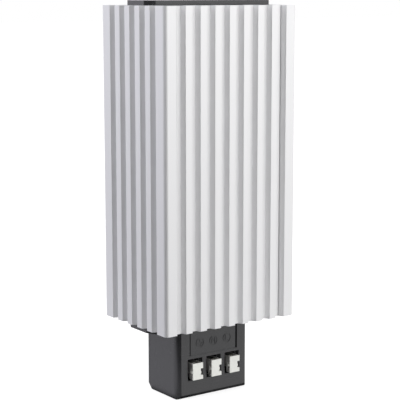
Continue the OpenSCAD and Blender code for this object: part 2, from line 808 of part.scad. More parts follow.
module earth_lead() {
    color([0.3, 0.6, 0.2]) lead(lead_path(0, [earth_x, lug_barrel_y, lug_barrel_z], [0, 0, 1]));
}

// Ring on the end of the profile, a strap bent down, and a crimp barrel
module earth_lug() {
    color([0.78, 0.76, 0.72]) translate([earth_x, 0, 0]) difference() {
        union() {
            translate([0, 0, z_profile - lug_t]) cylinder(r = lug_r, h = lug_t);
            block(0, strap_w, 0, strap_y + lug_t, z_profile - lug_t, z_profile);
            block(0, strap_w, strap_y, strap_y + lug_t, lug_barrel_top - lead_seat, z_profile);
            translate([0, lug_barrel_y, lug_barrel_z]) cylinder(r = crimp_r, h = crimp_l);
        }
        translate([0, 0, z_profile - lug_t - cut]) cylinder(r = lug_hole_r, h = lug_t + 2 * cut);
        translate([0, lug_barrel_y, lug_barrel_z - cut])
            cylinder(r = crimp_bore, h = crimp_l + cut - lead_seat);
    }
}

module earth_screw() {
    color([0.78, 0.66, 0.36]) translate([earth_x, 0, z_profile - lug_t]) difference() {
        union() {
            translate([0, 0, -earth_head_h]) cylinder(r = earth_head_r, h = earth_head_h);
            cylinder(r = channel_r - screw_gap, h = earth_screw_l);
        }
        for (a = [0, 90]) rotate(a) translate([-recess_l / 2, -recess_w / 2, -earth_head_h - cut])
            cube([recess_l, recess_w, recess_depth + cut]);
    }
}

// One strip of spring steel: a hook over the rail's upper flange, a plate on the back of the
// profile, and a leg that snaps behind the rail's lower flange
module rail_clip() {
    mid = back_y + clip_t / 2;
    low = rail_z - rail_h / 2 - spring_leg;
    catch_z = rail_z - rail_h / 2 + hook_lap;
    color([0.6, 0.61, 0.63]) difference() {
        along_x(clip_w) strip([
            [hook_y, rail_z + rail_h / 2 - hook_lap], [hook_y, hook_top_z], [mid, hook_top_z], [mid, low],
            [mid + hook_gap / 2 + clip_t / 2, low - hook_gap / 2 - clip_t / 2], [hook_y, low],
            [hook_y, catch_z], [hook_y + lead_in, catch_z + lead_in]
        ], clip_t);
        clip_screw_places() csk_hole(clip_screw_r, clip_screw_l, clip_csk_r, clip_csk_h);
    }
}

module rail_clip_screws() {
    color([0.62, 0.62, 0.64]) clip_screw_places()
        csk_screw(clip_screw_r, clip_screw_l, clip_csk_r, clip_csk_h);
}

heatsink_profile();
top_cap();
top_cap_screws();
terminal_housing();
housing_screws();
rear_cover();
terminal_pusher(0);  // terminal_pusher_1
terminal_pusher(1);  // terminal_pusher_2
terminal_pusher(2);  // terminal_pusher_3
clamp_yoke(0);  // clamp_yoke_1
clamp_yoke(1);  // clamp_yoke_2
clamp_yoke(2);  // clamp_yoke_3
clamp_spring(0);  // clamp_spring_1
clamp_spring(1);  // clamp_spring_2
clamp_spring(2);  // clamp_spring_3
contact_bar(0);  // contact_bar_1
contact_bar(1);  // contact_bar_2
contact_bar(2);  // contact_bar_3
ptc_tablets();
contact_plate_live();
contact_plate_neutral();
insulating_sleeve();
wedge_fixed();
wedge_driven();
tab_receptacle_live();
tab_receptacle_neutral();
live_lead();
neutral_lead();
earth_lead();
earth_lug();
earth_screw();
rail_clip();
rail_clip_screws();
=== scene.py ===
"""Looks of an upright enclosure heater, its white studio and its camera.

Metres, +Z up. The front of the heater faces -Y and the origin is under the terminal housing.
"""

import json
import logging
import math
from collections.abc import Callable, Iterator, Mapping, Sequence
from contextlib import contextmanager
from dataclasses import dataclass, field
from enum import Enum

import bmesh
import bpy
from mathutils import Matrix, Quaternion, Vector

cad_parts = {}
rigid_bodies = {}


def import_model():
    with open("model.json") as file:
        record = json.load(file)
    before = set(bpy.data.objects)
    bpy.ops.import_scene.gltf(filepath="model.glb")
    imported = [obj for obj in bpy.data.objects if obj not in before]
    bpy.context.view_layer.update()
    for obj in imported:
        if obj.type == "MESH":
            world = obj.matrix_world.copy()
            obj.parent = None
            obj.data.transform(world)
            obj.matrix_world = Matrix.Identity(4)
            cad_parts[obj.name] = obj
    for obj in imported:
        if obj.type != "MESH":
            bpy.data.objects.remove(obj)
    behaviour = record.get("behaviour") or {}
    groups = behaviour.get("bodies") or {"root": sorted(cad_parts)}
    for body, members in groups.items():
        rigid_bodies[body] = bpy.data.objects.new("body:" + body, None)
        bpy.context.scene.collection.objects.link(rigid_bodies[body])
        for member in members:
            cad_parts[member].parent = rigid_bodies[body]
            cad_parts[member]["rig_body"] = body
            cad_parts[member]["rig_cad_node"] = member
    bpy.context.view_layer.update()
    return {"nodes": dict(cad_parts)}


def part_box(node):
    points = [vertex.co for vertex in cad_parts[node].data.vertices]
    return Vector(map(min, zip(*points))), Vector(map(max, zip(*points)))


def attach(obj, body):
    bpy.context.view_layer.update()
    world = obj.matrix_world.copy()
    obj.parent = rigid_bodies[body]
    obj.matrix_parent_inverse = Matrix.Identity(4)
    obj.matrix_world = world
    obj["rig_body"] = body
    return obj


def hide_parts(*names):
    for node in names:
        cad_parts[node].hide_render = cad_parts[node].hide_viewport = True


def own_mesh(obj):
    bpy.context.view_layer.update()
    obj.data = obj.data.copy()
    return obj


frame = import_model()

LOG = logging.getLogger("heater")
MM = 0.001

Colour = tuple[float, float, float]
Place = tuple[float, float, float]
Span = tuple[float, float]
EdgeTest = Callable[[bmesh.types.BMEdge], bool]

WHITE_LIGHT: Colour = (1.0, 1.0, 1.0)


class Body(Enum):
    """The bodies that the pieces move with."""

    HEATER = "heater"
    PUSHER_1 = "pusher_1"
    PUSHER_2 = "pusher_2"
    PUSHER_3 = "pusher_3"


class Axis(Enum):
    """The three directions, numbered as a vector's parts are."""

    X = 0
    Y = 1
    Z = 2


class Lay(Enum):
    """Direction of the fine lines that rolling, drawing or extruding leaves."""

    ALONG_X = (0.01, 1.0, 1.0)
    ALONG_Y = (1.0, 0.01, 1.0)
    ALONG_Z = (1.0, 1.0, 0.01)
    EVEN = (1.0, 1.0, 1.0)


class Ray(Enum):
    """Kinds of ray that the studio tells apart."""

    CAMERA = "Is Camera Ray"
    GLOSSY = "Is Glossy Ray"
    TRANSMISSION = "Is Transmission Ray"


class Value:
    """A socket that carries a number, a colour or a vector, and takes part in sums."""

    def __init__(self, nodes: "Nodes", socket: bpy.types.NodeSocket) -> None:
        """Wraps an output socket of a tree.

        Args:
            nodes: The tree's builder.
            socket: The output socket.
        """
        self.nodes = nodes
        self.socket = socket

    def __add__(self, other: "Term") -> "Value":
        """Sum."""
        return self.nodes.maths("ADD", self, other)

    def __radd__(self, other: float) -> "Value":
        """Sum with a number in front."""
        return self.nodes.maths("ADD", other, self)

    def __sub__(self, other: "Term") -> "Value":
        """Difference."""
        return self.nodes.maths("SUBTRACT", self, other)

    def __rsub__(self, other: float) -> "Value":
        """Difference from a number."""
        return self.nodes.maths("SUBTRACT", other, self)

    def __mul__(self, other: "Term") -> "Value":
        """Product."""
        return self.nodes.maths("MULTIPLY", self, other)

    def __rmul__(self, other: float) -> "Value":
        """Product with a number in front."""
        return self.nodes.maths("MULTIPLY", other, self)

    def __abs__(self) -> "Value":
        """Size without the sign."""
        return self.nodes.maths("ABSOLUTE", self)

    def __or__(self, other: "Term") -> "Value":
        """The larger of the two, which joins two masks."""
        return self.nodes.maths("MAXIMUM", self, other)

    def between(self, low: float, high: float) -> "Value":
        """Smooth step from 0 at low to 1 at high.

        Args:
            low: Where the step starts.
            high: Where the step ends.

        Returns:
            The step's value.
        """
        return self.nodes.add(
            "ShaderNodeMapRange",
            {"interpolation_type": "SMOOTHSTEP"},
            {"Value": self, "From Min": low, "From Max": high},
        )


Term = Value | float
Feed = Value | float | Sequence[float]


class Nodes:
    """Builder of one node tree."""

    NOISE_ROUGHNESS = 0.55
    WAVE = 0.314

    def __init__(self, tree: bpy.types.NodeTree) -> None:
        """Takes over a tree and empties it.

        Args:
            tree: The tree of a material or of the world.
        """
        self.tree = tree
        tree.nodes.clear()

    def add(
        self,
        kind: str,
        settings: Mapping[str, object] | None = None,
        sockets: Mapping[str | int, Feed] | None = None,
        out: str | int = 0,
    ) -> Value | None:
        """Adds a node.

        Args:
            kind: The node's type.
            settings: Its properties, which are set first.
            sockets: Values of its inputs, or links to them.
            out: The output that is handed back.

        Returns:
            That output, or None for a node that has none.
        """
        node = self.tree.nodes.new(kind)
        for name, setting in (settings or {}).items():
            setattr(node, name, setting)
        for name, feed in (sockets or {}).items():
            self.feed(node.inputs[name], feed)
        return Value(self, node.outputs[out]) if len(node.outputs) else None

    def feed(self, socket: bpy.types.NodeSocket, feed: Feed) -> None:
        """Links a value to an input, or sets the input.

        Args:
            socket: The input.
            feed: A value to link, or a number, colour or vector.
        """
        if isinstance(feed, Value):
            self.tree.links.new(feed.socket, socket)
        elif socket.type == "RGBA":
            socket.default_value = (*feed[:3], 1.0)
        else:
            socket.default_value = feed

    def maths(self, operation: str, *terms: Term) -> Value:
        """Adds a Math node.

        Args:
            operation: The node's operation.
            terms: Its inputs in order.

        Returns:
            The result.
        """
        return self.add("ShaderNodeMath", {"operation": operation}, dict(enumerate(terms)))

    def vector_maths(self, operation: str, *terms: Feed, out: str = "Vector") -> Value:
        """Adds a Vector Math node.

        Args:
            operation: The node's operation.
            terms: Its inputs in order.
            out: Vector, or Value for an operation that gives a number.

        Returns:
            The result.
        """
        return self.add("ShaderNodeVectorMath", {"operation": operation}, dict(enumerate(terms)), out)

    def place(self) -> Value:
        """Object coordinates, in metres."""
        return self.add("ShaderNodeTexCoord", out="Object")

    def part(self, vector: Value, axis: Axis) -> Value:
        """One part of a vector.

        Args:
            vector: The vector.
            axis: The part's direction.

        Returns:
            The part.
        """
        return self.add("ShaderNodeSeparateXYZ", sockets={0: vector}, out=axis.value)

    def facing(self, axis: Axis) -> Value:
        """One part of the surface's direction, from -1 to 1."""
        return self.part(self.add("ShaderNodeNewGeometry", out="Normal"), axis)

    def stretched(self, vector: Value, scales: Sequence[float]) -> Value:
        """A vector scaled by its own number on each axis."""
        return self.vector_maths("MULTIPLY", vector, scales)

    def noise(
        self, vector: Value, size: float, detail: float = 2.0, lay: Lay = Lay.EVEN
    ) -> Value:
        """Soft noise from 0 to 1 about 0.5.

        Args:
            vector: Coordinates in metres.
            size: Size of the noise's grains, in metres.
            detail: Levels of finer noise on it.
            lay: Direction in which the grains are drawn out to lines.

        Returns:
            The noise.
        """
        sockets = {
            "Vector": self.stretched(vector, lay.value),
            "Scale": 1.0 / size,
            "Detail": detail,
            "Roughness": self.NOISE_ROUGHNESS,
        }
        return self.add("ShaderNodeTexNoise", {"noise_dimensions": "3D"}, sockets)

    def bands(
        self, vector: Value, axis: Axis, pitch: float, wander: float, detail: float = 2.0
    ) -> Value:
        """Soft bands from 0 to 1 that follow each other along one axis.

        Args:
            vector: Coordinates in metres.
            axis: The direction from one band to the next.
            pitch: Distance from one band to the next, in metres.
            wander: How far the bands stray from their lines.
            detail: Levels of finer straying.

        Returns:
            The bands.
        """
        sockets = {
            "Vector": vector,
            "Scale": self.WAVE / pitch,
            "Distortion": wander,
            "Detail": detail,
        }
        return self.add("ShaderNodeTexWave", {"bands_direction": axis.name}, sockets, "Fac")

    def blended(self, factor: Term, first: Feed, second: Feed) -> Value:
        """Colour between two colours.

        Args:
            factor: 0 for the first and 1 for the second.
            first: A colour.
            second: A colour.

        Returns:
            The colour.
        """
        sockets = {0: factor, 6: first, 7: second}
        return self.add("ShaderNodeMix", {"data_type": "RGBA"}, sockets, 2)

    def scaled(self, colour: Feed, factor: Value) -> Value:
        """Colour times a number.

        Args:
            colour: A colour.
            factor: The number.

        Returns:
            The colour.
        """
        return self.add("ShaderNodeVectorMath", {"operation": "SCALE"}, {0: colour, 3: factor})

    def relief(self, height: Value, depth: float, share: float) -> Value:
        """Normal of a surface with a fine relief.

        Args:
            height: Height of the relief, from 0 to 1.
            depth: Depth of the relief, in metres.
            share: Share of it that shows.

        Returns:
            The normal.
        """
        sockets = {"Height": height, "Distance": depth, "Strength": share}
        return self.add("ShaderNodeBump", sockets=sockets)

    def ray(self, kind: Ray) -> Value:
        """1 for a ray of one kind and else 0."""
        return self.add("ShaderNodeLightPath", out=kind.value)

    def mixed(self, factor: Value, first: Value, second: Value) -> Value:
        """Shader between two shaders.

        Args:
            factor: 0 for the first and 1 for the second.
            first: A shader.
            second: A shader.

        Returns:
            The shader.
        """
        return self.add("ShaderNodeMixShader", sockets={0: factor, 1: first, 2: second})

    def principled(self, sockets: Mapping[str, Feed]) -> Value:
        """Shader of a common surface, with the given values or links of its sockets."""
        return self.add("ShaderNodeBsdfPrincipled", sockets=sockets)

    def output(self, surface: Value) -> None:
        """Closes a material's tree with the shader that it shows."""
        self.add("ShaderNodeOutputMaterial", sockets={"Surface": surface})


@dataclass(frozen=True)
class Finish:
    """A finish: the record's slot that it belongs to, its colour and its roughness."""

    slot: str
    colour: Colour
    roughness: float

    def material(self) -> bpy.types.Material:
        """Makes the finish's material on first use.

        Returns:
            The material.
        """
        name = f"{self.slot}_finish"
        made = bpy.data.materials.get(name)
        if made is None:
            made = bpy.data.materials.new(name)
            made.use_nodes = True
            nodes = Nodes(made.node_tree)
            nodes.output(self.surface(nodes))
        return made

    def surface(self, nodes: Nodes) -> Value:
        """Builds the shader.

        Args:
            nodes: The material's tree.

        Returns:
            The shader's output.
        """
        raise NotImplementedError


@dataclass(frozen=True)
class ExtrudedAluminium(Finish):
    """Satin anodised profile: die lines along it, and saw marks on its cut ends."""

    die_line: float = 0.45 * MM
    band: float = 2.6 * MM
    cloud: float = 34 * MM
    grain: float = 0.09 * MM
    saw_line: float = 0.28 * MM
    end_facing: Span = (0.6, 0.9)
    end_roughness: float = 0.08
    depth: float = 0.006 * MM
    relief_share: float = 0.7

    def surface(self, nodes: Nodes) -> Value:
        """Builds the shader from lines, bands, clouds and the matt grain of the oxide.

        Args:
            nodes: The material's tree.

        Returns:
            The shader's output.
        """
        place = nodes.place()
        line = nodes.noise(place, self.die_line, 4.0, Lay.ALONG_Z)
        band = nodes.noise(place, self.band, 2.0, Lay.ALONG_Z)
        cloud = nodes.noise(place, self.cloud, 3.0)
        grain = nodes.noise(place, self.grain, 1.0)
        saw = nodes.noise(place, self.saw_line, 3.0, Lay.ALONG_X)
        cut_end = abs(nodes.facing(Axis.Z)).between(*self.end_facing)
        tone = 0.955 + 0.045 * line + 0.03 * band + 0.03 * cloud
        rough = self.roughness + 0.1 * (line - 0.5) + 0.06 * (cloud - 0.5) + 0.05 * (grain - 0.5)
        height = (0.65 * line + 0.35 * grain) * (1 - cut_end) + saw * cut_end
        return nodes.principled(
            {
                "Base Color": nodes.scaled(self.colour, tone),
                "Metallic": 1.0,
                "Roughness": rough + self.end_roughness * cut_end,
                "Normal": nodes.relief(height, self.depth, self.relief_share),
            }
        )


@dataclass(frozen=True)
class MouldedPlastic(Finish):
    """Moulded plastic with the matt grain of its tool and faint flow clouds."""

    grain: float = 0.22 * MM
    flow: float = 9 * MM
    depth: float = 0.008 * MM
    relief_share: float = 0.6
    scuff: float = 0.06
    scuff_size: float = 0.6 * MM
    scuff_span: Span = (0.62, 0.74)
    gloss: float = 0.5

    def surface(self, nodes: Nodes) -> Value:
        """Builds the shader from the tool's grain, flow clouds and light scuffs.

        Args:
            nodes: The material's tree.

        Returns:
            The shader's output.
        """
        place = nodes.place()
        grain = nodes.noise(place, self.grain, 3.0)
        flow = nodes.noise(place, self.flow, 4.0)
        scuff = nodes.noise(place, self.scuff_size, 5.0, Lay.ALONG_X).between(*self.scuff_span)
        tone = 0.9 + 0.1 * flow + 0.1 * grain
        rough = self.roughness + 0.1 * (flow - 0.5) + 0.08 * (grain - 0.5) + self.scuff * scuff
        return nodes.principled(
            {
                "Base Color": nodes.scaled(self.colour, tone),
                "Roughness": rough,
                "Specular IOR Level": self.gloss,
                "Normal": nodes.relief(grain, self.depth, self.relief_share),
            }
        )


@dataclass(frozen=True)
class BareMetal(Finish):
    """Rolled, drawn or plated metal with fine lines along its lay and a clouded sheen."""

    lay: Lay = Lay.EVEN
    line: float = 0.12 * MM
    cloud: float = 3 * MM
    spot: float = 0.7 * MM
    spot_span: Span = (0.58, 0.78)
    tarnish: Colour = (0.4, 0.38, 0.35)
    tarnished: float = 0.2
    depth: float = 0.004 * MM
    relief_share: float = 0.6

    def surface(self, nodes: Nodes) -> Value:
        """Builds the shader from lines, a clouded plating and a trace of tarnish.

        Args:
            nodes: The material's tree.

        Returns:
            The shader's output.
        """
        place = nodes.place()
        line = nodes.noise(place, self.line, 3.0, self.lay)
        cloud = nodes.noise(place, self.cloud, 4.0)
        spot = nodes.noise(place, self.spot, 4.0).between(*self.spot_span)
        plated = nodes.blended(self.tarnished * spot, self.colour, self.tarnish)
        rough = self.roughness + 0.16 * (line - 0.5) + 0.1 * (cloud - 0.5) + 0.12 * spot
        return nodes.principled(
            {
                "Base Color": nodes.scaled(plated, 0.92 + 0.16 * cloud),
                "Metallic": 1.0,
                "Roughness": rough,
                "Normal": nodes.relief(line, self.depth, self.relief_share),
            }
        )


@dataclass(frozen=True)
class WireSkin(Finish):
    """Extruded insulation of a lead, plain or in two colours."""

    stripe: Colour | None = None
    stripe_pitch: float = 2.2 * MM
    stripe_wander: float = 0.4
    stripe_span: Span = (0.55, 0.6)
    mottle: float = 0.5 * MM
    depth: float = 0.006 * MM
    relief_share: float = 0.5

    def surface(self, nodes: Nodes) -> Value:
        """Builds the shader, with a stripe along the lead where it has one.

        Args:
            nodes: The material's tree.

        Returns:
            The shader's output.
        """
        place = nodes.place()
        mottle = nodes.noise(place, self.mottle, 3.0)
        colour: Feed = self.colour
        if self.stripe is not None:
            band = nodes.bands(place, Axis.X, self.stripe_pitch, self.stripe_wander)
            colour = nodes.blended(band.between(*self.stripe_span), self.colour, self.stripe)
        return nodes.principled(
            {
                "Base Color": nodes.scaled(colour, 0.93 + 0.14 * mottle),
                "Roughness": self.roughness + 0.12 * (mottle - 0.5),
                "Normal": nodes.relief(mottle, self.depth, self.relief_share),
            }
        )


@dataclass(frozen=True)
class FiredCeramic(Finish):
    """Pressed and fired heating tablet with a speckled, matt face."""

    grain: float = 0.15 * MM
    speck: float = 0.5 * MM
    speck_span: Span = (0.6, 0.7)
    depth: float = 0.012 * MM
    relief_share: float = 0.6

    def surface(self, nodes: Nodes) -> Value:
        """Builds the shader from grains and darker specks.

        Args:
            nodes: The material's tree.

        Returns:
            The shader's output.
        """
        place = nodes.place()
        grain = nodes.noise(place, self.grain, 3.0)
        speck = nodes.noise(place, self.speck, 2.0).between(*self.speck_span)
        return nodes.principled(
            {
                "Base Color": nodes.scaled(self.colour, 0.9 + 0.2 * grain - 0.25 * speck),
                "Roughness": self.roughness + 0.1 * (grain - 0.5),
                "Normal": nodes.relief(grain, self.depth, self.relief_share),
            }
        )


@dataclass(frozen=True)
class WoundFilm(Finish):
    """Glossy insulating film wound round the heating element."""

    wind: float = 6 * MM
    wander: float = 1.0
    detail: float = 1.0
    depth: float = 0.03 * MM
    relief_share: float = 0.4

    def surface(self, nodes: Nodes) -> Value:
        """Builds the shader with the faint edges of the film's turns.

        Args:
            nodes: The material's tree.

        Returns:
            The shader's output.
        """
        turn = nodes.bands(nodes.place(), Axis.Z, self.wind, self.wander, self.detail)
        return nodes.principled(
            {
                "Base Color": nodes.scaled(self.colour, 0.86 + 0.2 * turn),
                "Roughness": self.roughness + 0.08 * turn,
                "Normal": nodes.relief(turn, self.depth, self.relief_share),
            }
        )


class Palette:
    """The heater's finishes."""

    PROFILE = ExtrudedAluminium("anodised_aluminium", (0.82, 0.82, 0.825), 0.66)
    BLACK = MouldedPlastic("black_plastic", (0.016, 0.016, 0.018), 0.24, gloss=1.0)
    WHITE = MouldedPlastic(
        "white_plastic", (0.8, 0.805, 0.765), 0.38, depth=0.004 * MM, scuff=0.03
    )
    ZINC = BareMetal("zinc_steel", (0.66, 0.67, 0.69), 0.3, cloud=2 * MM)
    SPRING = BareMetal("spring_steel", (0.56, 0.55, 0.53), 0.26, Lay.ALONG_Z)
    NICKEL = BareMetal("nickel_steel", (0.68, 0.67, 0.65), 0.62, Lay.ALONG_Y)
    TIN = BareMetal("tinned_copper", (0.74, 0.73, 0.71), 0.34, Lay.ALONG_Y)
    BRASS = BareMetal("brass", (0.76, 0.58, 0.3), 0.28)
    WEDGE = BareMetal("plain_aluminium", (0.78, 0.78, 0.79), 0.4, Lay.ALONG_Z, tarnished=0.1)
    CERAMIC = FiredCeramic("ptc_ceramic", (0.13, 0.12, 0.11), 0.7)
    FILM = WoundFilm("amber_film", (0.5, 0.25, 0.05), 0.3)
    BROWN = WireSkin("brown_insulation", (0.11, 0.045, 0.02), 0.4)
    BLUE = WireSkin("blue_insulation", (0.02, 0.08, 0.36), 0.4)
    GREEN = WireSkin(
        "green_yellow_insulation", (0.03, 0.26, 0.05), 0.4, stripe=(0.72, 0.6, 0.03)
    )


class Bench:
    """Blender's hand tools, one step to a method."""

    MERGE = 0.0005 * MM
    FLAT = math.radians(0.4)
    SHARP = math.radians(32)
    CREASE = math.radians(32)
    FINE_CREASE = math.radians(26)

    @staticmethod
    def hold(piece: bpy.types.Object) -> None:
        """Makes a piece the only one selected, and the active one.

        Args:
            piece: The piece.
        """
        bpy.ops.object.select_all(action="DESELECT")
        piece.select_set(True)
        bpy.context.view_layer.objects.active = piece

    @classmethod
    @contextmanager
    def editing(cls, piece: bpy.types.Object) -> Iterator[bmesh.types.BMesh]:
        """Edit mode on one piece with nothing selected.

        Args:
            piece: The piece.

        Yields:
            Its mesh, for selecting by place or direction.
        """
        cls.hold(piece)
        bpy.ops.object.mode_set(mode="EDIT")
        bpy.ops.mesh.select_mode(type="EDGE")
        bpy.ops.mesh.select_all(action="DESELECT")
        yield bmesh.from_edit_mesh(piece.data)
        bpy.ops.object.mode_set(mode="OBJECT")

    @classmethod
    def copy_of(cls, node: str, name: str) -> bpy.types.Object:
        """Copies a CAD node to a piece of clean, merged faces.

        Args:
            node: The CAD node.
            name: Name of the piece.

        Returns:
            The piece, at the origin and riding on nothing yet.
        """
        cls.hold(frame["nodes"][node])
        bpy.ops.object.duplicate()
        piece = bpy.context.view_layer.objects.active
        piece.name = name
        piece.data.name = name
        piece.parent = None
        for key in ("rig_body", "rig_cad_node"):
            del piece[key]
        piece.data.materials.clear()
        with cls.editing(piece):
            bpy.ops.mesh.select_all(action="SELECT")
            bpy.ops.mesh.remove_doubles(threshold=cls.MERGE)
            bpy.ops.mesh.customdata_custom_splitnormals_clear()
            bpy.ops.mesh.dissolve_limited(angle_limit=cls.FLAT)
        return piece

    @staticmethod
    def middle(edge: bmesh.types.BMEdge) -> Vector:
        """The middle of an edge."""
        return (edge.verts[0].co + edge.verts[1].co) / 2

    @staticmethod
    def is_sharp(edge: bmesh.types.BMEdge, least: float = SHARP) -> bool:
        """Tells whether two faces meet at an edge with a clear angle.

        Args:
            edge: The edge.
            least: The least angle.

        Returns:
            True for a sharp edge.
        """
        return len(edge.link_faces) == 2 and edge.calc_face_angle() > least

    @classmethod
    def is_ridge(cls, edge: bmesh.types.BMEdge) -> bool:
        """Tells whether an edge is sharp and stands out, as no inner corner does."""
        return cls.is_sharp(edge) and edge.is_convex

    @classmethod
    def round_edges(
        cls, piece: bpy.types.Object, width: float, steps: int, chosen: EdgeTest
    ) -> None:
        """Rounds the chosen edges of a piece.

        Args:
            piece: The piece.
            width: Width of the rounding on each face.
            steps: Faces across the rounding.
            chosen: Tells which edges are rounded.
        """
        with cls.editing(piece) as mesh:
            picked = [edge for edge in mesh.edges if chosen(edge)]
            for edge in picked:
                edge.select_set(True)
            bmesh.update_edit_mesh(piece.data)
            if picked:
                bpy.ops.mesh.bevel(offset=width, segments=steps, affect="EDGES", clamp_overlap=True)

    @classmethod
    def smooth(cls, piece: bpy.types.Object, crease: float = CREASE) -> None:
        """Smooths the roundings between flat faces.

        Args:
            piece: The piece.
            crease: The angle from which an edge stays sharp.
        """
        cls.hold(piece)
        bpy.ops.object.shade_smooth_by_angle(angle=crease)
        even = piece.modifiers.new("even_faces", "WEIGHTED_NORMAL")
        even.keep_sharp = True
        bpy.ops.object.modifier_apply(modifier=even.name)


@dataclass
class SubAssembly:
    """A group of pieces that belong together."""

    pieces: list[bpy.types.Object] = field(default_factory=list, init=False)

    def build(self) -> None:
        """Makes and dresses the pieces."""
        raise NotImplementedError

    def keep(self, piece: bpy.types.Object, node: str, body: Body, finish: Finish) -> None:
        """Dresses a finished piece, lets it ride on a body and stand for a CAD node.

        Args:
            piece: The piece.
            node: The CAD node that it stands for.
            body: The body that it moves with.
            finish: Its finish.
        """
        piece.data.materials.append(finish.material())
        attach(piece, body.value)
        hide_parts(node)
        self.pieces.append(piece)

    def keep_rounded(
        self, name: str, node: str, body: Body, finish: Finish, width: float, steps: int = 2
    ) -> None:
        """Makes and keeps a copy of a CAD node with all its sharp edges rounded.

        Args:
            name: Name of the piece.
            node: The CAD node.
            body: The body that the piece moves with.
            finish: Its finish.
            width: Width of the rounding on each face.
            steps: Faces across the rounding.
        """
        piece = Bench.copy_of(node, name)
        Bench.round_edges(piece, width, steps, Bench.is_sharp)
        Bench.smooth(piece)
        self.keep(piece, node, body, finish)

    def show(self, node: str, finish: Finish) -> None:
        """Shows a CAD node as it is, in its finish.

        Args:
            node: The CAD node.
            finish: Its finish.
        """
        shown = frame["nodes"][node]
        shown.data.materials.clear()
        shown.data.materials.append(finish.material())
        self.pieces.append(shown)


@dataclass
class HeatSink(SubAssembly):
    """The extruded profile with its grooves, slits, air ducts and screw channels."""

    node: str = "heatsink_profile"
    tip_round: float = 0.14 * MM
    tip_steps: int = 3
    end_break: float = 0.07 * MM
    end_angle: float = math.radians(60)
    skin: float = 4.2 * MM
    level: float = 0.01 * MM

    def __post_init__(self) -> None:
        """Looks up where the profile is."""
        self.low, self.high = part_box(self.node)

    def is_long_edge(self, edge: bmesh.types.BMEdge) -> bool:
        """Tells whether an edge runs along the grooved skin of the profile.

        Args:
            edge: The edge.

        Returns:
            True for a groove's or a slit's long edge.
        """
        first, second = (vert.co for vert in edge.verts)
        upright = abs(first.z - second.z) > (self.high.z - self.low.z) / 2
        outside = max(
            abs(first.x) - (self.high.x - self.skin),
            abs(first.y) - (self.high.y - self.skin),
        )
        return upright and outside > 0 and Bench.is_ridge(edge)

    def is_end_edge(self, edge: bmesh.types.BMEdge) -> bool:
        """Tells whether an edge lies round one of the two cut ends.

        Args:
            edge: The edge.

        Returns:
            True for an edge of a cut end.
        """
        levels = [vert.co.z for vert in edge.verts]
        ends = (self.low.z, self.high.z)
        at_end = any(max(abs(z - end) for z in levels) < self.level for end in ends)
        return at_end and Bench.is_sharp(edge, self.end_angle)

    def build(self) -> None:
        """Rounds the long edges as the die does, and breaks the sawn ends."""
        profile = Bench.copy_of(self.node, "finned_profile")
        Bench.round_edges(profile, self.tip_round, self.tip_steps, self.is_long_edge)
        Bench.round_edges(profile, self.end_break, 1, self.is_end_edge)
        Bench.smooth(profile)
        self.keep(profile, self.node, Body.HEATER, Palette.PROFILE)


@dataclass
class TopCap(SubAssembly):
    """The black cap over the heating chamber, with its two screws."""

    node: str = "top_cap"
    rim_round: float = 0.3 * MM
    rim_steps: int = 3
    rim_share: float = 0.8
    tongue_share: float = 0.2
    screw_round: float = 0.06 * MM

    def __post_init__(self) -> None:
        """Looks up where the cap is."""
        self.low, self.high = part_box(self.node)

    def on_rim(self, edge: bmesh.types.BMEdge) -> bool:
        """Tells whether an edge is sharp and on the cap's rim, above the tongue under it.

        Args:
            edge: The edge.

        Returns:
            True for an edge of the rim.
        """
        middle = Bench.middle(edge)
        reach_x = abs(middle.x) > self.rim_share * self.high.x
        reach_y = abs(middle.y) > self.rim_share * self.high.y
        above = middle.z > self.low.z + self.tongue_share * (self.high.z - self.low.z)
        return (reach_x or reach_y) and above and Bench.is_sharp(edge)

    def build(self) -> None:
        """Rounds the cap's rim and the screws' heads."""
        cap = Bench.copy_of(self.node, "chamber_cap")
        Bench.round_edges(cap, self.rim_round, self.rim_steps, self.on_rim)
        Bench.smooth(cap, Bench.FINE_CREASE)
        self.keep(cap, self.node, Body.HEATER, Palette.BLACK)
        self.keep_rounded(
            "cap_screw_pair", "top_cap_screws", Body.HEATER, Palette.ZINC, self.screw_round
        )


